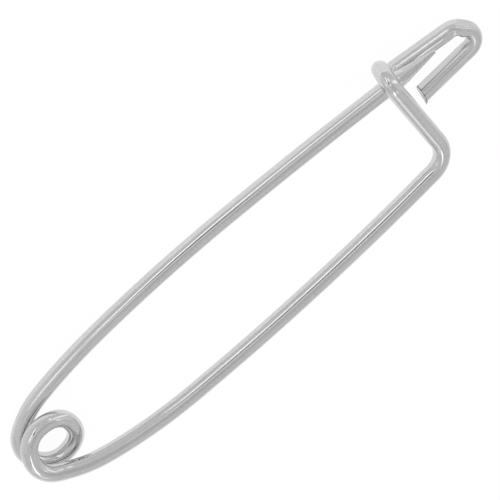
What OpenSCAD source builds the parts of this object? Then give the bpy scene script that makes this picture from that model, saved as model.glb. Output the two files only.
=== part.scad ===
// Large safety pin, bent from one length of round stainless spring wire and shown closed.
// Millimetres. The pin lies on the plane z = 0 as it comes to rest by itself. The origin is where the
// middle line of the spring coil meets that plane. +X points from the coil to the catch, and the
// sharpened arm is on the +Y side. The shapes are worked out with the coil upright, then laid down.
// The wire is one piece in the real object. It is drawn here as three stretches that meet
// end to end: the sharpened arm that swings, the coil that twists, and the guard with its catch.

/* [Wire] */
// Diameter of the spring wire
wire_d = 3.2; // [2.8:0.05:3.3]
// Free play between the sharpened arm and the wire that passes round it
play = 0.15; // [0.1:0.05:0.3]
// Width of the seam between the sharpened arm and the coil
seam = 0.1; // [0.05:0.05:0.2]

/* [Spring coil] */
// Radius of the coil at the middle of the wire
coil_r = 4.75; // [4.4:0.05:6]
// Rise of the coil in one full turn
coil_pitch = 4.8; // [3.8:0.1:6]
// Direction round the coil where the sharpened arm leaves it, in degrees
pin_leaves = 129.3; // [110:0.1:150]
// Direction round the coil where the guard arm leaves it, one turn further on, in degrees
guard_leaves = 235.4; // [215:0.1:255]

/* [Sharpened arm] */
// Distance of the point from the middle of the coil
point_x = 95; // [90:0.5:98]
// Length of the cone that forms the point
cone_len = 8; // [5:0.5:12]
// Radius left at the blunted point
point_r = 0.4; // [0.2:0.05:0.6]
// Radii of the four bends of the arm's bow, from the coil outwards
pin_bow_r = [16, 111, 294, 806]; // [10:1:1000]
// Turns of those four bends, in degrees
pin_bow_turn = [26, 8.4, 5.7, 2]; // [1:0.1:40]

/* [Guard] */
// Radii of the three bends of the guard arm's bow, from the coil outwards
guard_bow_r = [27, 90, 478]; // [15:1:1000]
// Turns of those three bends, in degrees
guard_bow_turn = [21.2, 11.7, 6.5]; // [1:0.1:40]
// Distance of the cross bar from the middle of the coil
bar_x = 85.05; // [80:0.05:88]
// Radius of the corner between the guard arm and the cross bar
corner_r = 4.6; // [3:0.1:8]

/* [Catch] */
// Distance from the middle of the coil to the first bend of the catch's end loop
loop_x = 100.2; // [97:0.1:104]
// Distance from the middle of the coil to the second bend of the end loop
loop_far_x = 103.9; // [101:0.1:108]
// Distance from the middle of the coil to the cut end of the wire
cut_x = 88.35; // [87.5:0.05:92]
// Angle by which the cut end is off square to the length of the pin, in degrees
cut_off_square = 10; // [0:1:20]

/* [Rest] */
// Roll about the pin's length at which it lies on a flat surface, in degrees
lie_roll = 7.64; // [0:0.01:12]
// Lean along the pin's length at which it lies on a flat surface, in degrees
lie_lean = -0.4; // [-2:0.01:2]
// Shift of the pin along the middle line of the coil that sets it on the surface
lie_lift = -0.67; // [-1.5:0.01:1]

/* [Hidden] */
$fn = 96;
wire_r = wire_d / 2;
fit = wire_d + play;
rest_z = wire_r;
pin_z = rest_z + fit;
bar_z = pin_z + fit;
coil_steps = 6;
coil_sweep = guard_leaves + 360 - pin_leaves;
coil_step = coil_sweep / coil_steps;
coil_top_z = rest_z + coil_pitch * coil_sweep / 360;
ease = 0.95;
// A bend's wire is this much thinner, and runs on this far, so that it seats inside the straights.
seat = 0.005;
lap = 0.04;

function unit(v) = v / norm(v);
function along(a) = [cos(a), sin(a)];
function sum(v, i = 0) = i == len(v) ? 0 : v[i] + sum(v, i + 1);
function level(x, x0, z0, x1, z1) = z0 + (z1 - z0) * (x - x0) / (x1 - x0);

// Corners of a bow that leaves p at heading h and turns by the given bends, one after the other.
function bow(p, h, r, turn, i = 0, before = 0) =
    i == len(r) ? [] :
    let (half = r[i] * tan(abs(turn[i]) / 2), q = p + along(h) * (before + half))
    concat([[q.x, q.y]], bow(q, h + turn[i], r, turn, i + 1, half));

// Corners of the coil: the wire touches the coil's radius half way between them.
coil_corners = [
    for (k = [0:coil_steps - 1])
    let (a = pin_leaves + (k + 0.5) * coil_step, rise = coil_pitch * (k + 0.5) * coil_step / 360)
    [coil_r / cos(coil_step / 2) * cos(a), coil_r / cos(coil_step / 2) * sin(a), rest_z + rise]
];

// The sharpened arm in plan: it leaves the coil, bows outwards and runs straight to its point.
pin_start = coil_r * along(pin_leaves);
pin_heading = pin_leaves - 90 - sum(pin_bow_turn);
pin_plan = bow(pin_start, pin_leaves - 90, pin_bow_r, -pin_bow_turn);
pin_last = pin_plan[len(pin_plan) - 1];
pin_y = pin_last.y + tan(pin_heading) * (bar_x - pin_last.x);
point_y = pin_last.y + tan(pin_heading) * (point_x - pin_last.x);
function pin_level(x) = level(x, pin_plan[0].x, rest_z, bar_x, pin_z);
pin_corners = concat(
    [for (p = pin_plan) [p.x, p.y, pin_level(p.x)]],
    [[point_x, point_y, pin_level(point_x)]]
);

// The guard arm in plan: it leaves the top of the coil and runs to the cross bar.
guard_start = coil_r * along(guard_leaves);
guard_heading = guard_leaves + 90 + sum(guard_bow_turn);
guard_plan = bow(guard_start, guard_leaves + 90, guard_bow_r, guard_bow_turn);
guard_last = guard_plan[len(guard_plan) - 1];
guard_y = guard_last.y + tan(guard_heading) * (bar_x - guard_last.x);
function guard_level(x) = level(x, guard_start.x, coil_top_z, bar_x, bar_z);

// The cross bar goes over the arm, round its outer side and back beneath it, and then forwards
// under the point. The end loop turns back and stops just short of the cross bar.
// Each corner of the catch holds its place and the radius of its bend.
catch_corners = [
    [bar_x, guard_y, bar_z, corner_r],
    [bar_x, pin_y + 3.36, bar_z, 2.8],
    [bar_x + 0.55, pin_y + 3.85, pin_z - 0.3, 2.65],
    [bar_x + 0.6, pin_y + 1.8, rest_z + 0.3, 1.9],
    [bar_x + 1.05, pin_y - 0.25, rest_z, 1.8],
    [loop_x, pin_y - 2.15, rest_z, 3],
    [loop_far_x, pin_y - 7.65, rest_z, 2.35],
    [cut_x - 2, pin_y - 8.6, rest_z, 0]
];
guard_corners = concat(
    [for (p = guard_plan) [p.x, p.y, guard_level(p.x)]],
    [for (c = catch_corners) [c.x, c.y, c.z]]
);
guard_radii = concat(ease * guard_bow_r, [for (c = catch_corners) c[3]]);

// Seams at both ends of the coil, on the short straight between its last bend and the arm's first.
coil_half = coil_r * tan(coil_step / 2);
function seam_at(from, to, half) = from + (to - from) * coil_half / (coil_half + half);
pin_half = pin_bow_r[0] * tan(pin_bow_turn[0] / 2);
pin_seam = seam_at(coil_corners[0], pin_corners[0], pin_half);
guard_half = guard_bow_r[0] * tan(guard_bow_turn[0] / 2);
guard_seam = seam_at(coil_corners[coil_steps - 1], guard_corners[0], guard_half);

// Axes that carry a local frame to origin o, with its X along u and its Z along w.
module at(o, u, w) {
    v = cross(w, u);
    multmatrix([
        [u.x, v.x, w.x, o.x],
        [u.y, v.y, w.y, o.y],
        [u.z, v.z, w.z, o.z],
        [0, 0, 0, 1]
    ]) children();
}

// Lays the upright shape down the way it rests on a flat surface.
module laid_down() {
    rotate([lie_roll, lie_lean, 0]) translate([0, 0, lie_lift]) children();
}

// A straight stretch of wire from a to b.
module straight(a, b) {
    w = unit(b - a);
    u = unit(cross(w, abs(w.z) < 0.9 ? [0, 0, 1] : [0, 1, 0]));
    at(a, u, w) cylinder(h = norm(b - a), r = wire_r);
}

// A bend of radius r at corner p, from direction d0 to direction d1.
module bend(p, d0, d1, r) {
    turn = acos(d0 * d1);
    start = p - d0 * r * tan(turn / 2);
    inward = unit(d1 - d0 * (d0 * d1));
    over = lap / r * 180 / PI;
    at(start + inward * r, -inward, cross(-inward, d0))
        rotate([0, 0, -over]) rotate_extrude(angle = turn + 2 * over)
            translate([r, 0]) circle(r = wire_r - seat);
}

// Wire along a row of corners, with a bend of its own radius at each inner corner.
module wire(p, r) {
    last = len(p) - 1;
    d = [for (i = [0:last - 1]) unit(p[i + 1] - p[i])];
    trim = [
        for (i = [0:last])
        i == 0 || i == last ? 0 : r[i] * tan(acos(d[i - 1] * d[i]) / 2)
    ];
    for (i = [0:last - 1]) straight(p[i] + d[i] * trim[i], p[i + 1] - d[i] * trim[i + 1]);
    for (i = [1:last - 1]) bend(p[i], d[i - 1], d[i], r[i]);
}

// The sharpened arm: its end beside the coil, the bow, and the cone that forms the point.
module pin_arm() {
    away = unit(pin_corners[0] - pin_seam);
    tip = pin_corners[len(pin_corners) - 1];
    back = unit(pin_corners[len(pin_corners) - 2] - tip);
    shoulder = tip + back * cone_len;
    side = unit(cross(back, [0, 0, 1]));
    color([0.76, 0.77, 0.78]) laid_down() union() {
        wire(
            concat([pin_seam + away * seam], [for (i = [0:len(pin_plan) - 1]) pin_corners[i]], [shoulder]),
            concat([0], ease * pin_bow_r, [0])
        );
        at(shoulder + back * lap, side, -back)
            cylinder(h = cone_len - point_r + lap, r1 = wire_r - seat, r2 = point_r + seat);
        translate(tip + back * point_r) sphere(r = point_r);
    }
}

// The spring coil, one turn and a quarter.
module spring_coil() {
    color([0.74, 0.75, 0.76]) laid_down() wire(
        concat([pin_seam], coil_corners, [guard_seam]),
        [for (k = [0:coil_steps + 1]) ease * coil_r]
    );
}

// The guard: its long arm, the cross bar, the turn round the sharpened arm, and the end loop.
module guard_wire() {
    color([0.78, 0.79, 0.8]) laid_down() difference() {
        wire(concat([guard_seam], guard_corners), concat([0], guard_radii));
        translate([cut_x, pin_y - 8.5, rest_z]) rotate([0, 0, -cut_off_square])
            translate([-10, -5, -5]) cube([10, 10, 10]);
    }
}

pin_arm();
spring_coil();
guard_wire();
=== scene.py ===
import math

import bmesh
import bpy
import numpy as np
from mathutils import Matrix, Vector


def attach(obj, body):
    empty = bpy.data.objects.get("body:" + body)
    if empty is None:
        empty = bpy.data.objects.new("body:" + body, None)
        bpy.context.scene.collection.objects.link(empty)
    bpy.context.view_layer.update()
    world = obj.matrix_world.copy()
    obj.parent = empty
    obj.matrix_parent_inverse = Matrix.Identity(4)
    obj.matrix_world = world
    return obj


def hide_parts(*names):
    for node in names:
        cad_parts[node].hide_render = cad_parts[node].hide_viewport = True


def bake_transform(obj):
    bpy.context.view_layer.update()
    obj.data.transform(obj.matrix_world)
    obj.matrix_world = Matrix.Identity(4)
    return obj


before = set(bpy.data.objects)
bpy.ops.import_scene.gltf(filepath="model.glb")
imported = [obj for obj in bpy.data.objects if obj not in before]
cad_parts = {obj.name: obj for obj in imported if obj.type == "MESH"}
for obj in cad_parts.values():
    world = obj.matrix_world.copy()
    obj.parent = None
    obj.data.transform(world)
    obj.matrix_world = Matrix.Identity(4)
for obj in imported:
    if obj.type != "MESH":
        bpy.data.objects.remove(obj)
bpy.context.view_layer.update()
print("frame loaded")

mm = 0.001    # sizes are written in millimetres and turned into metres with this

# the camera's place about the pin as it lies: the photo looks down on it from the +Y side
camera = {
    "azimuth": 90.08,       # degrees round +Z from +X
    "elevation": 60.17,     # degrees above the surface
    "roll": 138.17,         # degrees that the picture is turned about the line of sight
    "aim": (48.02, -0.82, -0.11),     # mm, what the middle of the picture looks at
    "distance": 1200.0,     # mm
    "lens": 495.1, "sensor": 36.0,    # mm
    "clip": (0.05, 20.0),   # m, the nearest and the farthest place that it sees
}


# right, up and back directions of the picture
def pictureDirections():
    azimuth, elevation, roll = (math.radians(camera[k]) for k in ("azimuth", "elevation", "roll"))
    level = Vector((-math.sin(azimuth), math.cos(azimuth), 0))
    back = Vector((math.cos(elevation) * math.cos(azimuth),
                   math.cos(elevation) * math.sin(azimuth), math.sin(elevation)))
    lift = back.cross(level)
    right = math.cos(roll) * level + math.sin(roll) * lift
    up = -math.sin(roll) * level + math.cos(roll) * lift
    return right, up, back


pictureRight, pictureUp, pictureBack = pictureDirections()


def placeCamera():
    data = bpy.data.cameras.new("photoCamera")
    data.lens = camera["lens"]
    data.sensor_width = camera["sensor"]
    data.clip_start, data.clip_end = camera["clip"]
    body = bpy.data.objects.new("photoCamera", data)
    place = Vector(camera["aim"]) + pictureBack * camera["distance"]
    turn = Matrix((pictureRight, pictureUp, pictureBack)).transposed().to_4x4()
    body.matrix_world = Matrix.Translation(place * mm) @ turn
    bpy.context.scene.collection.objects.link(body)
    bpy.context.scene.camera = body


placeCamera()
print("camera placed")

wire = {
    "diameter": 3.2,        # mm
    "play": 0.15,           # mm between the sharpened arm and the wire that passes round it
    "flattening": 0.12,     # share of its radius that the tightest bend's inner side is pressed in
    "ringStep": 0.2,        # mm between the rings of the swept mesh
    "sides": 84,            # of each ring
}

# the coil stands on the origin and climbs round +Z from the sharpened arm to the guard arm
coil = {
    "radius": 4.75,         # mm, to the middle of the wire
    "pitch": 4.8,           # mm that one turn climbs
    "pinLeaves": 129.3, "guardLeaves": 235.4,    # degrees round it where the two arms leave
    "steps": 6,             # corners that its round is laid out with
    "withArm": 3.45, "withGuard": 5.9,    # mm up its axis
}

# both arms are bowed: rows of gentle bends from the coil outwards, radii in mm, turns in degrees
arm = {
    "bowRadii": (16, 111, 294, 806), "bowTurns": (26, 8.4, 5.7, 2),
    "pointX": 95.0, "coneLength": 8.0, "tipRadius": 0.4, "leastRadius": 0.02,    # mm
    "flats": 7, "flatTurn": 0.85,        # flats left by grinding, and radians that they are turned
    "flatDepth": 1.0, "flatFade": 1.5,   # how fully they cut, and mm in which they run out
}
guard = {
    "bowRadii": (27, 90, 478), "bowTurns": (21.2, 11.7, 6.5),
    "barX": 85.05, "cornerRadius": 4.6,  # mm, the cross bar and the corner that leads into it
    "cut": (3.3, -8.5), "offSquare": 10,    # mm past the bar and off the arm, degrees off square
    "cutStretch": 6, "cutShadeBand": 0.2,   # mm that the cut can reach, and width of the painted shade band beside it
    "burr": 0.5, "burrReach": 0.6, "burrRoot": 0.3,    # mm: its height, width and foot on the wire
    "burrTaper": 1.5,                    # how sharply it rises
    "burrSide": (0, -0.87, 0.5), "burrWay": (-0.67, -0.65, 0.37),    # where it is, where it leans
    # extra flattening inside the end loop's turn: how much, and where in mm before the end
    "pinch": 2.0, "pinchAt": 19.0, "pinchReach": 3.2,
}

# how the pin lies on the paper: mm that it is lifted, then degrees about X and about Y
rest = {"lift": -0.67, "roll": 7.64, "lean": -0.4}

ease = 0.95       # share of its room that a bend takes, which leaves short straights between bends
straight = 1e6    # mm, the bend radius that a straight stretch is given

wireRadius = wire["diameter"] / 2
fit = wire["diameter"] + wire["play"]
restZ = wireRadius      # the middle line's three levels: on the surface,
pinZ = restZ + fit      # where the sharpened arm lies in the catch,
barZ = pinZ + fit       # and in the cross bar over it

# corners of the catch after the cross bar's own: mm past the bar in x, off the sharpened arm in y
# and up in z, and the radius of the bend
catch = {
    "overArm": (0.0, 3.36, barZ, 2.8),
    "downOutside": (0.55, 3.85, pinZ - 0.3, 2.65),
    "backBeneath": (0.6, 1.8, restZ + 0.3, 1.9),
    "underPoint": (1.05, -0.25, restZ, 1.8),
    "loopOut": (15.15, -2.15, restZ, 3.0),
    "loopBack": (18.85, -7.65, restZ, 2.35),
    "pastCut": (1.3, -8.6, restZ, 0.0),
}


def headingVector(angle):
    return np.array([math.cos(math.radians(angle)), math.sin(math.radians(angle))])


# distance from a corner to where its bend starts
def setback(radius, turn):
    return radius * math.tan(math.radians(abs(turn)) / 2)


# corners of a row of bends that follow one on another, seen from above, and the heading after them
def bowCorners(start, heading, radii, turns):
    corners, at, before = [], np.array(start, float), 0.0
    for radius, turn in zip(radii, turns):
        after = setback(radius, turn)
        at = at + headingVector(heading) * (before + after)
        corners.append(at)
        heading += turn
        before = after
    return corners, heading


# y at x on the straight that leaves the last bend of a bow
def onwards(plan, heading, x):
    return plan[-1][1] + math.tan(math.radians(heading)) * (x - plan[-1][0])


# height at x on a straight climb
def climb(x, fromX, fromZ, toX, toZ):
    return fromZ + (toZ - fromZ) * (x - fromX) / (toX - fromX)


# place on the short straight between an end of the coil and an arm, where the two pieces meet
def seamBetween(coilCorner, coilTurn, bowCorner, bow):
    coilSetback = setback(coil["radius"], coilTurn)
    bowSetback = setback(bow["bowRadii"][0], bow["bowTurns"][0])
    return coilCorner + (bowCorner - coilCorner) * coilSetback / (coilSetback + bowSetback)


# corners and bend radii of the whole wire, from the point to the cut end, in mm, with the coil
# upright, and the places of the two seams and of the cut
def wireCorners():
    sweep = coil["guardLeaves"] + 360 - coil["pinLeaves"]
    step = sweep / coil["steps"]
    reach = coil["radius"] / math.cos(math.radians(step / 2))
    coilCorners = []
    for k in range(coil["steps"]):
        turn = coil["pinLeaves"] + (k + 0.5) * step
        rise = coil["pitch"] * (k + 0.5) * step / 360
        coilCorners.append(np.array([*(reach * headingVector(turn)), restZ + rise]))
    coilTop = restZ + coil["pitch"] * sweep / 360
    barX = guard["barX"]

    start = coil["radius"] * headingVector(coil["pinLeaves"])
    turns = [-turn for turn in arm["bowTurns"]]
    plan, heading = bowCorners(start, coil["pinLeaves"] - 90, arm["bowRadii"], turns)
    pinY = onwards(plan, heading, barX)
    bowX = plan[0][0]
    plan.append((arm["pointX"], onwards(plan, heading, arm["pointX"])))
    armCorners = [np.array([x, y, climb(x, bowX, restZ, barX, pinZ)]) for x, y in plan]

    start = coil["radius"] * headingVector(coil["guardLeaves"])
    turns = guard["bowTurns"]
    plan, heading = bowCorners(start, coil["guardLeaves"] + 90, guard["bowRadii"], turns)
    guardY = onwards(plan, heading, barX)
    guardCorners = [np.array([x, y, climb(x, start[0], coilTop, barX, barZ)]) for x, y in plan]

    corners = armCorners[::-1] + coilCorners + guardCorners + [np.array([barX, guardY, barZ])]
    corners += [np.array([barX + x, pinY + y, z]) for x, y, z, _ in catch.values()]
    rounds = [*arm["bowRadii"][::-1], *[coil["radius"]] * coil["steps"], *guard["bowRadii"]]
    radii = [0.0] + [ease * radius for radius in rounds] + [guard["cornerRadius"]]
    radii += [radius for *_, radius in catch.values()]
    seams = [seamBetween(coilCorners[0], step, armCorners[0], arm),
             seamBetween(coilCorners[-1], step, guardCorners[0], guard)]
    cutX, cutY = guard["cut"]
    return corners, radii, seams, np.array([barX + cutX, pinY + cutY, restZ])


# points every step mm along the corners with their bends, and the bend radius at each point
def filletedLine(corners, radii, step):
    ways = [c / np.linalg.norm(c) for c in (b - a for a, b in zip(corners, corners[1:]))]
    points, bends = [], []
    at = corners[0]
    for i in range(1, len(corners)):
        turn, end = 0.0, corners[i]
        if i < len(corners) - 1:
            before, after, radius = ways[i - 1], ways[i], radii[i]
            turn = math.acos(float(np.clip(before @ after, -1, 1)))
            end = corners[i] - before * radius * math.tan(turn / 2)
        count = max(1, round(np.linalg.norm(end - at) / step))
        points += [at + (end - at) * k / count for k in range(count)]
        bends += [straight] * count
        at = end
        if turn:
            across = after - before * (before @ after)
            across /= np.linalg.norm(across)
            middle = end + across * radius
            count = max(2, math.ceil(turn * radius / step))
            *bend, at = [middle + radius * (before * math.sin(a) - across * math.cos(a))
                         for a in (turn * k / count for k in range(count + 1))]
            points += bend
            bends += [radius] * count
    return np.array(points + [at]), np.array(bends + [straight])


# the same line with its points at even distances, and the length up to each
def evenLine(points, values, step):
    gaps = np.linalg.norm(np.diff(points, axis=0), axis=1)
    length = np.concatenate([[0], np.cumsum(gaps)])
    s = np.linspace(0, length[-1], round(length[-1] / step) + 1)
    even = np.stack([np.interp(s, length, points[:, k]) for k in range(3)], axis=1)
    return even, np.interp(s, length, values), s


# real wire eases into a bend: each point is averaged over its neighbours, fewer where it is tight
easing = {
    "share": 0.13,                # spread of the average, as a share of the bend's radius,
    "least": 0.25, "most": 1.5,   # and its limits in mm
    "reach": 3,                   # spreads to each side that count
    "lead": 3, "window": 9,       # points that a small spread is carried on and smoothed over,
    "rounds": 2,                  # and how often
}


def easedLine(points, bends, step):
    spread = np.clip(easing["share"] * bends, easing["least"], easing["most"])
    window = np.hanning(easing["window"])
    around = range(-easing["lead"], easing["lead"] + 1)
    for _ in range(easing["rounds"]):
        spread = np.minimum.reduce([np.roll(spread, k) for k in around])
        padded = np.pad(spread, easing["window"] // 2, mode="edge")
        spread = np.convolve(padded, window / window.sum(), mode="valid")
    eased = points.copy()
    last = len(points) - 1
    for i in range(last + 1):
        reach = int(min(easing["reach"] * spread[i] / step, i, last - i))
        if reach:
            k = np.arange(-reach, reach + 1)
            weight = np.exp(-0.5 * (k * step / spread[i]) ** 2)
            eased[i] = (points[i + k] * weight[:, None]).sum(0) / weight.sum()
    return eased


restTurn = (Matrix.Rotation(math.radians(rest["lean"]), 3, "Y")
            @ Matrix.Rotation(math.radians(rest["roll"]), 3, "X"))


# directions of the upright pin as it lies
def laidOver(directions):
    return directions @ np.array(restTurn).T


# places of the upright pin as it lies, in metres
def laidDown(places):
    return laidOver(np.array(places) + [0, 0, rest["lift"]]) * mm


def wireLine():
    corners, radii, seams, cut = wireCorners()
    step = wire["ringStep"]
    points, bends = filletedLine(corners, radii, step / 2)
    points, bends, s = evenLine(points, bends, step)
    points = easedLine(points, bends, step)
    tangent = np.gradient(points, axis=0)
    tangent /= np.linalg.norm(tangent, axis=1)[:, None]
    curve = np.gradient(tangent, axis=0) / step     # towards the inside of the bend, 1/mm
    tight = np.linalg.norm(curve, axis=1)
    inward = curve / np.maximum(tight, 1e-9)[:, None]
    # a reference direction carried along without twist, so that all stretches share it
    normal = np.zeros_like(points)
    n = np.cross(tangent[0], [0, 0, 1])
    for i in range(len(points)):
        n = n - (n @ tangent[i]) * tangent[i]
        n /= np.linalg.norm(n)
        normal[i] = n
    fromPinch = (s[-1] - s - guard["pinchAt"]) / guard["pinchReach"]
    pinched = 1 + guard["pinch"] * np.exp(-fromPinch ** 2)
    return {
        "points": laidDown(points), "length": s,
        "normal": laidOver(normal), "inward": laidOver(inward),
        "tight": np.clip(tight * wireRadius, 0, 1) * pinched,
        "seams": [int(np.argmin(np.linalg.norm(points - seam, axis=1))) for seam in seams],
        "cut": laidDown([cut])[0],
    }


line = wireLine()
wireEnd = line["length"][-1]
print("middle line worked out:", len(line["points"]), "rings,", round(wireEnd, 1), "mm of wire")


# adds a node with its settings; an input is a value or another node's output
def addNode(tree, kind, settings=None, inputs=None):
    node = tree.nodes.new(kind)
    for name, value in (settings or {}).items():
        setattr(node, name, value)
    for key, value in (inputs or {}).items():
        if isinstance(value, bpy.types.NodeSocket):
            tree.links.new(value, node.inputs[key])
        else:
            node.inputs[key].default_value = value
    return node


def colour(code):
    channels = [int(code[k:k + 2], 16) / 255 for k in (1, 3, 5)]
    return (*(c / 12.92 if c <= 0.04045 else ((c + 0.055) / 1.055) ** 2.4 for c in channels), 1.0)


def emptyMaterial(name):
    material = bpy.data.materials.new(name)
    material.use_nodes = True
    material.node_tree.nodes.clear()
    return material, material.node_tree


finish = {
    "colours": ("#C2C2C2", "#DFDFDF"),    # the polish is mottled between these
    "speckle": 0.55,            # share of the mottle that is grain, where the rest is die lines
    "paintedCutShade": "#8C8A87",        # painted shade: colour of the band beside the sheared face, standing for the dark reflection of its rounded edge
    "scuffed": 0.935,           # share of the reflection left where the tool gripped
    "polished": (0.07, 0.13),   # roughness of the drawn and polished wire, hazier in patches,
    "mandrel": 0.05,            # what is added inside a bend, which was pressed on a mandrel,
    "gripped": 0.17,            # on the end loop, which the tool gripped,
    "ground": 0.05,             # and on the ground cone
    "mandrelFrom": 0.05, "mandrelTo": 0.3,      # flattening over which the mandrel's mark sets in
    "gripFrom": 20, "gripTo": 12,               # mm before the wire's end
    "groundBlur": 0.3,                          # mm on each side of the cone's shoulder
    "lineWidth": 0.45, "lineLength": 15, "lineHeight": 0.03,    # mm, the die lines
    "lines": 0.18,              # how much they stand out, and what is added where the wire is
    "bentLines": 0.35, "grippedLines": -0.08, "groundLines": 0.45,    # bent, gripped and ground
    "grain": 0.24, "grainHeight": 0.01,         # mm
    "grainShows": 0.1, "bentGrain": 0.25,       # how much it stands out, and more in a tight bend
    "hazePatch": 3.8,                           # mm
    "noise": (0.3, 0.7),        # where a noise mostly lies, stretched to the full range
}


def brightDrawnSteel():
    # Stainless spring wire, cold drawn and bright polished: a clear, slightly mottled mirror with
    # die lines along it, duller inside the bends and on the gripped end loop, and streaked where
    # the point was ground.
    material, tree = emptyMaterial("stainlessSpringWireBrightDrawn")
    softly = {"interpolation_type": "SMOOTHSTEP"}
    timesPlus = {"operation": "MULTIPLY_ADD"}
    noiseLow, noiseHigh = finish["noise"]
    place = addNode(tree, "ShaderNodeAttribute", {"attribute_name": "wirePlace"}).outputs["Vector"]
    bent, mandrelSide, cutShadeBand = (
        addNode(tree, "ShaderNodeAttribute", {"attribute_name": name}).outputs["Fac"]
        for name in ("bendTight", "mandrelSide", "cutShadeBand"))
    along = addNode(tree, "ShaderNodeSeparateXYZ", None, {0: place}).outputs["Z"]

    # the stretches that the tools worked
    gripped = addNode(tree, "ShaderNodeMapRange", softly, {
        "Value": along, "From Min": (wireEnd - finish["gripFrom"]) * mm,
        "From Max": (wireEnd - finish["gripTo"]) * mm}).outputs["Result"]
    ground = addNode(tree, "ShaderNodeMapRange", softly, {
        "Value": along, "From Min": (arm["coneLength"] - finish["groundBlur"]) * mm,
        "From Max": (arm["coneLength"] + finish["groundBlur"]) * mm,
        "To Min": 1.0, "To Max": 0.0}).outputs["Result"]
    pressed = addNode(tree, "ShaderNodeMapRange", softly, {
        "Value": mandrelSide, "From Min": finish["mandrelFrom"],
        "From Max": finish["mandrelTo"]}).outputs["Result"]

    # die lines, which a polished wire keeps: finer in truth, drawn this wide so that they show
    lengthened = addNode(tree, "ShaderNodeMapping", None, {
        "Vector": place, "Scale": (1, 1, finish["lineWidth"] / finish["lineLength"])})
    lines = addNode(tree, "ShaderNodeTexNoise", None, {
        "Vector": lengthened.outputs["Vector"], "Scale": 1 / (finish["lineWidth"] * mm),
        "Detail": 3, "Roughness": 0.6}).outputs["Fac"]
    # the grain of the polish is some hundredths of a millimetre, drawn coarser for the same reason
    grain = addNode(tree, "ShaderNodeTexNoise", None, {
        "Vector": place, "Scale": 1 / (finish["grain"] * mm), "Detail": 1}).outputs["Fac"]
    haze = addNode(tree, "ShaderNodeTexNoise", None, {
        "Vector": place, "Scale": 1 / (finish["hazePatch"] * mm), "Detail": 4}).outputs["Fac"]

    # the mottle is grain and lines together, and lines alone where the grip rubbed it into streaks
    lineShare = addNode(tree, "ShaderNodeMath", {"operation": "MULTIPLY"},
                        {0: lines, 1: 1 - finish["speckle"]}).outputs[0]
    mottle = addNode(tree, "ShaderNodeMath", timesPlus,
                     {0: grain, 1: finish["speckle"], 2: lineShare}).outputs[0]
    streaked = addNode(tree, "ShaderNodeMix", {"data_type": "FLOAT"},
                       {0: gripped, 2: mottle, 3: lines}).outputs[0]
    blend = addNode(tree, "ShaderNodeMapRange", None, {
        "Value": streaked, "From Min": noiseLow, "From Max": noiseHigh}).outputs["Result"]
    dark, light = (colour(code) for code in finish["colours"])
    shade = addNode(tree, "ShaderNodeMix", {"data_type": "RGBA"},
                    {0: blend, 6: dark, 7: light}).outputs[2]

    # the grip scuffed the end loop a little darker, and a band round the cut is painted dark as
    # shade, for the dark reflection of the cut's rounded edge
    scuffed = addNode(tree, "ShaderNodeMix", {"data_type": "RGBA", "blend_type": "MULTIPLY"},
                      {0: gripped, 6: shade, 7: (*[finish["scuffed"]] * 3, 1)}).outputs[2]
    # painted shade: the band beside the cut is painted dark in place of the dark reflection off its
    # rounded edge
    paintedCutShade = addNode(tree, "ShaderNodeMix", {"data_type": "RGBA"},
                     {0: cutShadeBand, 6: scuffed, 7: colour(finish["paintedCutShade"])}).outputs[2]

    low, high = finish["polished"]
    rough = addNode(tree, "ShaderNodeMapRange", None, {
        "Value": haze, "From Min": noiseLow, "From Max": noiseHigh,
        "To Min": low, "To Max": high}).outputs["Result"]
    for share, name in ((pressed, "mandrel"), (gripped, "gripped"), (ground, "ground")):
        rough = addNode(tree, "ShaderNodeMath", timesPlus,
                        {0: share, 1: finish[name], 2: rough}).outputs[0]

    # lines stand out more where the wire was bent or ground, less where the tool gripped it
    strength = finish["lines"]
    for share, name in ((bent, "bentLines"), (gripped, "grippedLines"), (ground, "groundLines")):
        strength = addNode(tree, "ShaderNodeMath", timesPlus,
                           {0: share, 1: finish[name], 2: strength}).outputs[0]
    lineBump = addNode(tree, "ShaderNodeBump", None, {
        "Strength": strength, "Distance": finish["lineHeight"] * mm, "Height": lines})
    strength = addNode(tree, "ShaderNodeMath", timesPlus,
                       {0: bent, 1: finish["bentGrain"], 2: finish["grainShows"]}).outputs[0]
    grainBump = addNode(tree, "ShaderNodeBump", None, {
        "Strength": strength, "Distance": finish["grainHeight"] * mm, "Height": grain,
        "Normal": lineBump.outputs["Normal"]})
    shader = addNode(tree, "ShaderNodeBsdfPrincipled", None, {
        "Base Color": paintedCutShade, "Metallic": 1.0, "Roughness": rough,
        "Normal": grainBump.outputs["Normal"]})
    addNode(tree, "ShaderNodeOutputMaterial", None, {"Surface": shader.outputs["BSDF"]})
    return material


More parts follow.
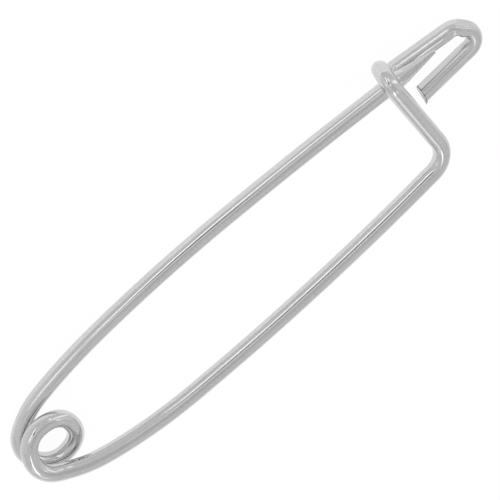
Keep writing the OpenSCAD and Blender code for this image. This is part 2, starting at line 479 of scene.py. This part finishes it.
# sweeps a round wire along a line that carries its radius, its bends and its length
def wireSweepTree():
    tree = bpy.data.node_groups.new("wireSweep", "GeometryNodeTree")
    sockets = {}
    for name, kind, value in (
        ("Line", "NodeSocketGeometry", None), ("Sides", "NodeSocketInt", wire["sides"]),
        ("Flattening", "NodeSocketFloat", wire["flattening"]),
        ("Wire Radius", "NodeSocketFloat", wireRadius * mm), ("Finish", "NodeSocketMaterial", None),
    ):
        socket = tree.interface.new_socket(name=name, in_out="INPUT", socket_type=kind)
        if value is not None:
            socket.default_value = value
        sockets[name] = socket.identifier
    tree.interface.new_socket(name="Wire", in_out="OUTPUT", socket_type="NodeSocketGeometry")
    given = addNode(tree, "NodeGroupInput").outputs
    position = addNode(tree, "GeometryNodeInputPosition").outputs["Position"]
    number = {"data_type": "FLOAT", "domain": "POINT"}
    vector = {"data_type": "FLOAT_VECTOR", "domain": "POINT"}
    carried = {}
    for name, kind in (
        ("wireNormal", "FLOAT_VECTOR"), ("wireMiddle", "FLOAT_VECTOR"),
        ("ringPlace", "FLOAT_VECTOR"), ("bendInward", "FLOAT_VECTOR"),
        ("bendTight", "FLOAT"), ("wireLength", "FLOAT"), ("wireRadius", "FLOAT"),
    ):
        attribute = addNode(tree, "GeometryNodeInputNamedAttribute", {"data_type": kind},
                            {"Name": name})
        carried[name] = attribute.outputs["Attribute"]

    path = addNode(tree, "GeometryNodeMeshToCurve", None, {"Mesh": given["Line"]})
    turned = addNode(tree, "GeometryNodeSetCurveNormal", {"mode": "FREE"},
                     {"Curve": path.outputs["Curve"], "Normal": carried["wireNormal"]})
    centred = addNode(tree, "GeometryNodeStoreNamedAttribute", vector, {
        "Geometry": turned.outputs["Curve"], "Name": "wireMiddle", "Value": position})
    ring = addNode(tree, "GeometryNodeCurvePrimitiveCircle", {"mode": "RADIUS"},
                   {"Resolution": given["Sides"], "Radius": 1.0})
    marked = addNode(tree, "GeometryNodeStoreNamedAttribute", vector, {
        "Geometry": ring.outputs["Curve"], "Name": "ringPlace", "Value": position})
    swept = addNode(tree, "GeometryNodeCurveToMesh", None, {
        "Curve": centred.outputs["Geometry"], "Profile Curve": marked.outputs["Geometry"],
        "Scale": carried["wireRadius"], "Fill Caps": True})

    # where each point would be on the straight wire: round it in x and y, along it in z
    across = addNode(tree, "ShaderNodeVectorMath", {"operation": "SCALE"},
                     {0: carried["ringPlace"], "Scale": carried["wireRadius"]})
    lengthwise = addNode(tree, "ShaderNodeCombineXYZ", None, {"Z": carried["wireLength"]})
    unbent = addNode(tree, "ShaderNodeVectorMath", {"operation": "ADD"},
                     {0: across.outputs["Vector"], 1: lengthwise.outputs["Vector"]})
    placed = addNode(tree, "GeometryNodeStoreNamedAttribute", vector, {
        "Geometry": swept.outputs["Mesh"], "Name": "wirePlace", "Value": unbent.outputs["Vector"]})

    # the inner side of a tight bend is pressed flatter, by the square of the share of the way from
    # its outer side
    outwards = addNode(tree, "ShaderNodeVectorMath", {"operation": "SUBTRACT"},
                       {0: position, 1: carried["wireMiddle"]})
    inwards = addNode(tree, "ShaderNodeVectorMath", {"operation": "DOT_PRODUCT"},
                      {0: outwards.outputs["Vector"], 1: carried["bendInward"]})
    side = addNode(tree, "ShaderNodeMath", {"operation": "DIVIDE"},
                   {0: inwards.outputs["Value"], 1: given["Wire Radius"]})
    share = addNode(tree, "ShaderNodeMath", {"operation": "MULTIPLY_ADD"},
                    {0: side.outputs[0], 1: 0.5, 2: 0.5})
    squared = addNode(tree, "ShaderNodeMath", {"operation": "POWER"},
                      {0: share.outputs[0], 1: 2.0})
    pressed = addNode(tree, "ShaderNodeMath", {"operation": "MULTIPLY"},
                      {0: squared.outputs[0], 1: carried["bendTight"]})
    sided = addNode(tree, "GeometryNodeStoreNamedAttribute", number, {
        "Geometry": placed.outputs["Geometry"], "Name": "mandrelSide",
        "Value": pressed.outputs[0]})
    back = pressed.outputs[0]
    for factor in (given["Flattening"], given["Wire Radius"], -1.0):
        back = addNode(tree, "ShaderNodeMath", {"operation": "MULTIPLY"},
                       {0: back, 1: factor}).outputs[0]
    shift = addNode(tree, "ShaderNodeVectorMath", {"operation": "SCALE"},
                    {0: carried["bendInward"], "Scale": back})
    flattened = addNode(tree, "GeometryNodeSetPosition", None, {
        "Geometry": sided.outputs["Geometry"], "Offset": shift.outputs["Vector"]})
    single = addNode(tree, "GeometryNodeRealizeInstances", None,
                     {"Geometry": flattened.outputs["Geometry"]})
    finished = addNode(tree, "GeometryNodeSetMaterial", None, {
        "Geometry": single.outputs["Geometry"], "Material": given["Finish"]})
    addNode(tree, "NodeGroupOutput", None, {0: finished.outputs["Geometry"]})
    return tree, sockets


sweepTree, sweepSockets = wireSweepTree()


# one stretch of the wire, from ring first to ring last of the middle line, as a plain closed mesh
def sweepWire(name, first, last, radii, material):
    rings = slice(first, last + 1)
    mesh = bpy.data.meshes.new(name + "Line")
    links = [(k, k + 1) for k in range(last - first)]
    mesh.from_pydata([tuple(place) for place in line["points"][rings]], links, [])
    for key, kind, field, values in (
        ("wireNormal", "FLOAT_VECTOR", "vector", line["normal"][rings]),
        ("bendInward", "FLOAT_VECTOR", "vector", line["inward"][rings]),
        ("bendTight", "FLOAT", "value", line["tight"][rings]),
        ("wireLength", "FLOAT", "value", line["length"][rings] * mm),
        ("wireRadius", "FLOAT", "value", np.array(radii) * mm),
    ):
        attribute = mesh.attributes.new(key, kind, "POINT")
        attribute.data.foreach_set(field, np.array(values, np.float32).ravel())
    path = bpy.data.objects.new(name + "Line", mesh)
    bpy.context.scene.collection.objects.link(path)
    sweep = path.modifiers.new("sweep", "NODES")
    sweep.node_group = sweepTree
    for key, value in (("Sides", wire["sides"]), ("Flattening", wire["flattening"]),
                       ("Wire Radius", wireRadius * mm), ("Finish", material)):
        sweep[sweepSockets[key]] = value
    bpy.context.view_layer.update()
    evaluated = path.evaluated_get(bpy.context.evaluated_depsgraph_get())
    made = bpy.data.meshes.new_from_object(evaluated)
    made.name = name
    bpy.data.objects.remove(path)
    piece = bpy.data.objects.new(name, made)
    bpy.context.scene.collection.objects.link(piece)
    for face in made.polygons:
        face.use_smooth = len(face.vertices) == 4
    return piece


# the wire's own thickness up to the shoulder, then a cone with a blunted tip
def armRadii(lengths):
    tip = arm["tipRadius"]
    slant = (wireRadius - tip) / (arm["coneLength"] - tip)
    radii = []
    for s in lengths:
        if s < tip:
            blunt = math.sqrt(max(0.0, tip ** 2 - (tip - s) ** 2))
            radii.append(max(arm["leastRadius"], blunt))
        else:
            radii.append(min(wireRadius, tip + slant * (s - tip)))
    return radii


steel = brightDrawnSteel()
armSeam, guardSeam = line["seams"]
lastRing = len(line["points"]) - 1
sharpenedArm = sweepWire("sharpenedArm", 0, armSeam, armRadii(line["length"][:armSeam + 1]), steel)
springCoil = sweepWire("springCoil", armSeam, guardSeam,
                       [wireRadius] * (guardSeam - armSeam + 1), steel)
guardWire = sweepWire("guardWire", guardSeam, lastRing,
                      [wireRadius] * (lastRing - guardSeam + 1), steel)


def pointPlaces(mesh):
    return np.array([v.co for v in mesh.vertices])


def pointVectors(mesh, name):
    return np.array([d.vector for d in mesh.attributes[name].data])


def movePoints(mesh, places):
    mesh.vertices.foreach_set("co", places.ravel())
    mesh.update()


# the point was ground by hand, which leaves flats along the cone
def grindFlats(piece):
    mesh = piece.data
    places, middles = pointPlaces(mesh), pointVectors(mesh, "wireMiddle")
    x, y, along = pointVectors(mesh, "wirePlace").T
    fade = np.clip((arm["coneLength"] - along / mm) / arm["flatFade"], 0, 1) * arm["flatDepth"]
    span = 2 * math.pi / arm["flats"]
    turn = np.mod(np.arctan2(y, x) + arm["flatTurn"], span) - span / 2
    flat = math.cos(span / 2) / np.cos(turn)
    share = 1 - fade * (1 - flat)
    movePoints(mesh, middles + (places - middles) * share[:, None])


# marks that the tools left on the end loop: mm before the wire's end, the side that it is on, and
# its depth and its reach along and across in mm
toolMarks = {
    "shoulderFlat": (19.6, (0.69, 0.5, 0.53), 0.35, 3.0, 3.0),
    "innerDent": (22.3, (0.0, -0.3, 0.95), 0.3, 1.3, 1.3),
    "frontLegFlat": (6.8, (0, 0.98, 0.17), 0.16, 7.5, 9),
}
markShape = {
    "edge": 0.025,    # mm in which a mark's edge is rounded over
    "dish": 4,        # power by which its floor rises to its rim
    "rim": 8,         # and by which it ends there
    "most": 30,       # edges above or below its floor at which that rounding is cut off
}


def pressMark(piece, beforeEnd, side, depth, alongReach, acrossReach):
    mesh = piece.data
    places = pointPlaces(mesh) / mm
    along = pointVectors(mesh, "wirePlace")[:, 2] / mm
    length = wireEnd - beforeEnd
    ring = int(np.argmin(np.abs(line["length"] - length)))
    forwards = line["points"][ring + 1] - line["points"][ring - 1]
    forwards /= np.linalg.norm(forwards)
    way = np.array(side) - np.dot(side, forwards) * forwards
    way /= np.linalg.norm(way)
    off = places - line["points"][ring] / mm
    height = off @ way - wireRadius
    across = off @ np.cross(way, forwards)
    aside = np.hypot((along - length) / alongReach, across / acrossReach)
    aside = np.clip(aside, 0, 1)
    floor = -depth * (1 - aside ** markShape["dish"])
    edge = markShape["edge"]
    over = np.clip((height - floor) / edge, -markShape["most"], markShape["most"])
    pushed = -edge * np.log1p(np.exp(over)) * (1 - aside ** markShape["rim"])
    movePoints(mesh, (places + pushed[:, None] * way) * mm)
    return int((pushed < -edge).sum())


# the end loop's end is sheared off at its angle, which leaves a flat face and a small burr on its
# rim;
# the band beside it is marked for painted shade, a dark reflection of the cut's rounded edge
def shearEnd(piece):
    cut = Vector(line["cut"])
    offSquare = Matrix.Rotation(math.radians(-guard["offSquare"]), 3, "Z")
    outwards = restTurn @ offSquare @ Vector((-1, 0, 0))
    mesh = bmesh.new()
    mesh.from_mesh(piece.data)
    place = mesh.verts.layers.float_vector["wirePlace"]
    # the cross bar lies past the cut's plane too, so only the last stretch of the wire is cut
    lastStretch = (wireEnd - guard["cutStretch"]) * mm
    near = {v for v in mesh.verts if v[place][2] > lastStretch}
    faces = [f for f in mesh.faces if any(v in near for v in f.verts)]
    geometry = list({v for f in faces for v in f.verts} | {e for f in faces for e in f.edges})
    cutOff = bmesh.ops.bisect_plane(mesh, geom=geometry + faces, plane_co=cut, plane_no=outwards,
                                    clear_outer=True, dist=1e-7)
    rim = [e for e in cutOff["geom_cut"] if isinstance(e, bmesh.types.BMEdge)]
    face = bmesh.ops.edgeloop_fill(mesh, edges=rim)
    bmesh.ops.recalc_face_normals(mesh, faces=mesh.faces[:])
    for f in face["faces"]:
        f.smooth = False

    side, way = Vector(guard["burrSide"]), Vector(guard["burrWay"]).normalized()
    burr = max((v for e in rim for v in e.verts), key=lambda v: v.co.dot(side)).co.copy()
    for v in mesh.verts:
        away = (v.co - burr).length / (guard["burrReach"] * mm)
        if away < 1 and (v.co - cut).dot(outwards) > -guard["burrRoot"] * mm:
            v.co += way * guard["burr"] * mm * (1 - away) ** guard["burrTaper"]
    mesh.to_mesh(piece.data)
    mesh.free()

    places = piece.data.attributes["wirePlace"].data
    # painted shade: faces on the wire's side within this width of the cut are marked to be painted
    # dark
    band = []
    for f in piece.data.polygons:
        inwards = -(f.center - cut).dot(outwards)
        beside = places[f.vertices[0]].vector[2] > lastStretch and len(f.vertices) <= 4
        band.append(1.0 if beside and inwards < guard["cutShadeBand"] * mm else 0.0)
    piece.data.attributes.new("cutShadeBand", "FLOAT", "FACE").data.foreach_set("value", band)
    return int(sum(band))


grindFlats(sharpenedArm)
for name, mark in toolMarks.items():
    print(name, "moved", pressMark(guardWire, *mark), "points")
print("shear band on", shearEnd(guardWire), "faces")
print("wire swept:", {o.name: len(o.data.polygons) for o in (sharpenedArm, springCoil, guardWire)})

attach(sharpenedArm, "arm")
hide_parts("pin_arm")
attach(guardWire, "guard")
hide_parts("guard_wire")
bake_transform(springCoil)
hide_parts("spring_coil")

studio = {
    "floorSize": 6.0,        # m
    "floorGlow": 0.93,       # the paper lies on a lit table, which leaves hardly any shadow
    "paper": "#595959",      # and it returns this little of the light that falls on it
    # the lit paper is a strip that ends just outside the picture on both sides, and the table goes
    # on a little duller: a place on the edge in mm, the way out across it in degrees from +X, and
    # the brightness
    "tables": {"tableByCoil": ((-12.5, 0.0), 142.3, 0.86),
               "tableByLoop": ((108.0, 0.0), -37.7, 0.87)},
    "tableSize": 0.6,        # m
    "tableRise": 0.1,        # mm over the floor
    "tent": 0.72,            # brightness of the tent's walls
    # its duller roof: degrees right and up, brightness, and degrees from its middle at which it
    # starts to fade and has faded
    "roof": (33, -15, 0.61, 12, 34),
    # soft boxes: degrees right and up from the camera as the pin sees them, width and height in
    # degrees, turn in the picture, brightness on top of the tent's
    "boxes": {
        "boxByCamera": (-18, 14, 8, 34, 8, 0.8),
        "boxByCameraHaze": (-19, -5, 18, 20, 0, 0.2),
        "boxCameraRim": (4, -9, 10, 34, -45, 0.25),
        "boxRight": (58, 33, 62, 11, 14, 0.5),
        "boxRightHaze": (62, 20, 74, 44, 0, 0.09),
        "boxBelow": (12, -61, 13, 32, 5, 1.0),
        "boxBelowHaze": (-8, -76, 50, 16, 25, 0.16),
        "boxLow": (13, -84, 12, 24, -10, 0.4),
        "boxLeft": (-56, -6, 30, 60, 0, 0.09),
    },
    "boxDistance": 2.0,      # m
    # small cards close to the pin: the place that each one lights in mm, then as for the boxes
    "cards": {
        "cardBackLeg": ((93, 7.5, 3), 0, 17, 20, 15, -55, 0.6),
        "cardBackLegLow": ((94, 7.5, 3), 38, -38, 19, 10, -55, 0.6),
        "cardCoil": ((12, 9, 3), -22, -13, 24, 22, 0, 0.35),
    },
    "cardDistance": 0.12,    # m
    "apart": 0.005,          # m, each one further off than the last, so that none cuts into another
    "lens": (-6, -2, 10, 0.9),    # degrees right, up and across of the dark lens, and m to it
    "lensColour": "#272727",
}


def studioDirection(rightDegrees, upDegrees):
    angle = math.radians(math.hypot(rightDegrees, upDegrees))
    side = (pictureRight * rightDegrees + pictureUp * upDegrees).normalized()
    return pictureBack * math.cos(angle) + side * math.sin(angle)


def placeBox(name, centre, distance, rightDegrees, upDegrees, wide, high, turn, brightness):
    data = bpy.data.lights.new(name, "AREA")
    data.shape = "ELLIPSE"
    data.size = 2 * distance * math.tan(math.radians(wide / 2))
    data.size_y = 2 * distance * math.tan(math.radians(high / 2))
    area = data.size * data.size_y * math.pi / 4
    data.energy = brightness * math.pi * area    # W, which makes its face this bright
    lamp = bpy.data.objects.new(name, data)
    lamp.visible_camera = False
    way = studioDirection(rightDegrees, upDegrees)
    side = pictureUp.cross(way).normalized()
    facing = Matrix((side, way.cross(side), way)).transposed().to_4x4()
    lamp.matrix_world = (Matrix.Translation(centre + way * distance)
                         @ facing @ Matrix.Rotation(math.radians(turn), 4, "Z"))
    bpy.context.scene.collection.objects.link(lamp)


# a flat sheet on the surface, from one x to another in metres and centred in y
def flatSheet(name, fromX, toX, wide):
    mesh = bpy.data.meshes.new(name)
    half = wide / 2
    corners = [(fromX, -half, 0), (toX, -half, 0), (toX, half, 0), (fromX, half, 0)]
    mesh.from_pydata(corners, [], [(0, 1, 2, 3)])
    sheet = bpy.data.objects.new(name, mesh)
    bpy.context.scene.collection.objects.link(sheet)
    return sheet


# the lens and the table are seen in the wire alone
def showInWire(piece):
    piece.visible_camera = False
    piece.visible_shadow = False
    piece.visible_diffuse = False


def backLitPaper():
    # White paper on a lit table: it glows evenly and takes hardly any shadow.
    material, tree = emptyMaterial("backLitWhitePaper")
    matt = addNode(tree, "ShaderNodeBsdfDiffuse", None, {"Color": colour(studio["paper"])})
    lit = addNode(tree, "ShaderNodeEmission", None, {"Strength": studio["floorGlow"]})
    both = addNode(tree, "ShaderNodeAddShader", None,
                   {0: matt.outputs["BSDF"], 1: lit.outputs["Emission"]})
    addNode(tree, "ShaderNodeOutputMaterial", None, {"Surface": both.outputs["Shader"]})
    return material


def dullTable(name, brightness):
    # The lit table beyond the paper, a little duller than the paper.
    material, tree = emptyMaterial(name + "Top")
    lit = addNode(tree, "ShaderNodeEmission", None, {"Strength": brightness})
    addNode(tree, "ShaderNodeOutputMaterial", None, {"Surface": lit.outputs["Emission"]})
    return material


def blackLens():
    # Black coated metal and glass: the dark spot that a camera leaves in a mirror.
    material, tree = emptyMaterial("blackCoatedLens")
    matt = addNode(tree, "ShaderNodeBsdfDiffuse", None, {"Color": colour(studio["lensColour"])})
    addNode(tree, "ShaderNodeOutputMaterial", None, {"Surface": matt.outputs["BSDF"]})
    return material


def placeLens(centre, rightDegrees, upDegrees, across, distance):
    way = studioDirection(rightDegrees, upDegrees)
    mesh = bpy.data.meshes.new("darkLens")
    disc = bmesh.new()
    bmesh.ops.create_circle(disc, cap_ends=True, segments=32,
                            radius=distance * math.tan(math.radians(across / 2)))
    disc.to_mesh(mesh)
    disc.free()
    mesh.materials.append(blackLens())
    lens = bpy.data.objects.new("darkLens", mesh)
    lens.matrix_world = (Matrix.Translation(centre + way * distance)
                         @ way.to_track_quat("Z", "Y").to_matrix().to_4x4())
    bpy.context.scene.collection.objects.link(lens)
    showInWire(lens)


# the tent is lit evenly from all round, a little less from the roof
def lightTent():
    world = bpy.data.worlds.new("lightTent")
    world.use_nodes = True
    tree = world.node_tree
    tree.nodes.clear()
    rightDegrees, upDegrees, dull, inner, outer = studio["roof"]
    towards = addNode(tree, "ShaderNodeTexCoord")
    nearRoof = addNode(tree, "ShaderNodeVectorMath", {"operation": "DOT_PRODUCT"}, {
        0: towards.outputs["Generated"], 1: studioDirection(rightDegrees, upDegrees)})
    bright = addNode(tree, "ShaderNodeMapRange", {"interpolation_type": "SMOOTHSTEP"}, {
        "Value": nearRoof.outputs["Value"], "From Min": math.cos(math.radians(outer)),
        "From Max": math.cos(math.radians(inner)), "To Min": studio["tent"], "To Max": dull})
    glow = addNode(tree, "ShaderNodeBackground", None, {
        "Color": colour("#FFFFFF"), "Strength": bright.outputs["Result"]})
    addNode(tree, "ShaderNodeOutputWorld", None, {"Surface": glow.outputs["Background"]})
    return world


def buildStudio():
    scene = bpy.context.scene
    scene.view_settings.view_transform = "Standard"
    scene.world = lightTent()

    halfFloor = studio["floorSize"] / 2
    floor = flatSheet("paperFloor", -halfFloor, halfFloor, studio["floorSize"])
    floor.data.materials.append(backLitPaper())

    for name, ((x, y), way, brightness) in studio["tables"].items():
        table = flatSheet(name, 0, studio["tableSize"], studio["tableSize"])
        table.matrix_world = (Matrix.Translation(Vector((x, y, studio["tableRise"])) * mm)
                              @ Matrix.Rotation(math.radians(way), 4, "Z"))
        table.data.materials.append(dullTable(name, brightness))
        showInWire(table)

    centre = Vector(camera["aim"]) * mm
    distance = studio["boxDistance"]
    for name, box in studio["boxes"].items():
        distance += studio["apart"]
        placeBox(name, centre, distance, *box)
    distance = studio["cardDistance"]
    for name, (place, *card) in studio["cards"].items():
        distance += studio["apart"]
        placeBox(name, Vector(place) * mm, distance, *card)

    placeLens(centre, *studio["lens"])


buildStudio()
print("studio built")
